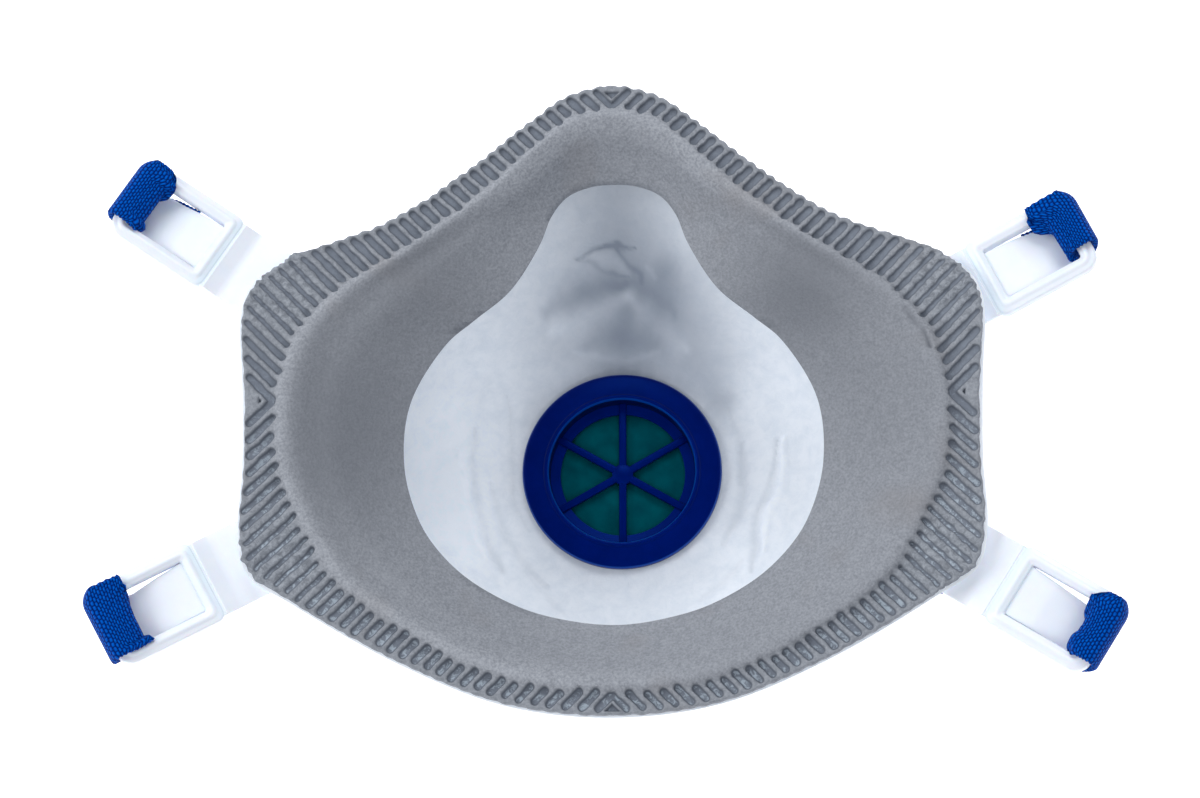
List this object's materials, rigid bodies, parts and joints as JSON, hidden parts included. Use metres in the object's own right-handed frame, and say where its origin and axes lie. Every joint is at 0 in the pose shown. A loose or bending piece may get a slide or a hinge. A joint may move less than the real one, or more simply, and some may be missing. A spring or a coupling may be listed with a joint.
{
  "type": "disposable respirator",
  "caption": "Moulded cup respirator with a grey foam face seal, an exhalation valve and two elastic head bands on strap buckles, lying open side up.",
  "frame": {"origin": "centre of the flat front of the valve cover, on which the part lies", "axes": "+Z out of the cup towards the face that would wear it, +Y towards the nose, +X to the right when looking into the cup with the nose up"},
  "size_m": [0.1936, 0.1242, 0.0642],
  "materials": {
    "shell": "white moulded filter felt",
    "foam": "soft grey foam",
    "valve": "dark blue moulded plastic",
    "membrane": "thin teal rubber",
    "cover": "plain white plastic",
    "buckle": "white moulded plastic",
    "band": "royal blue knitted elastic"
  },
  "bodies": {
    "root": {"cup_shell": "shell", "face_seal": "foam", "valve_seat": "valve", "valve_membrane": "membrane", "valve_cover": "cover", "buckle_upper_left": "buckle", "buckle_upper_right": "buckle", "buckle_lower_left": "buckle", "buckle_lower_right": "buckle", "head_band_upper": "band", "head_band_lower": "band"}
  },
  "joints": []
}
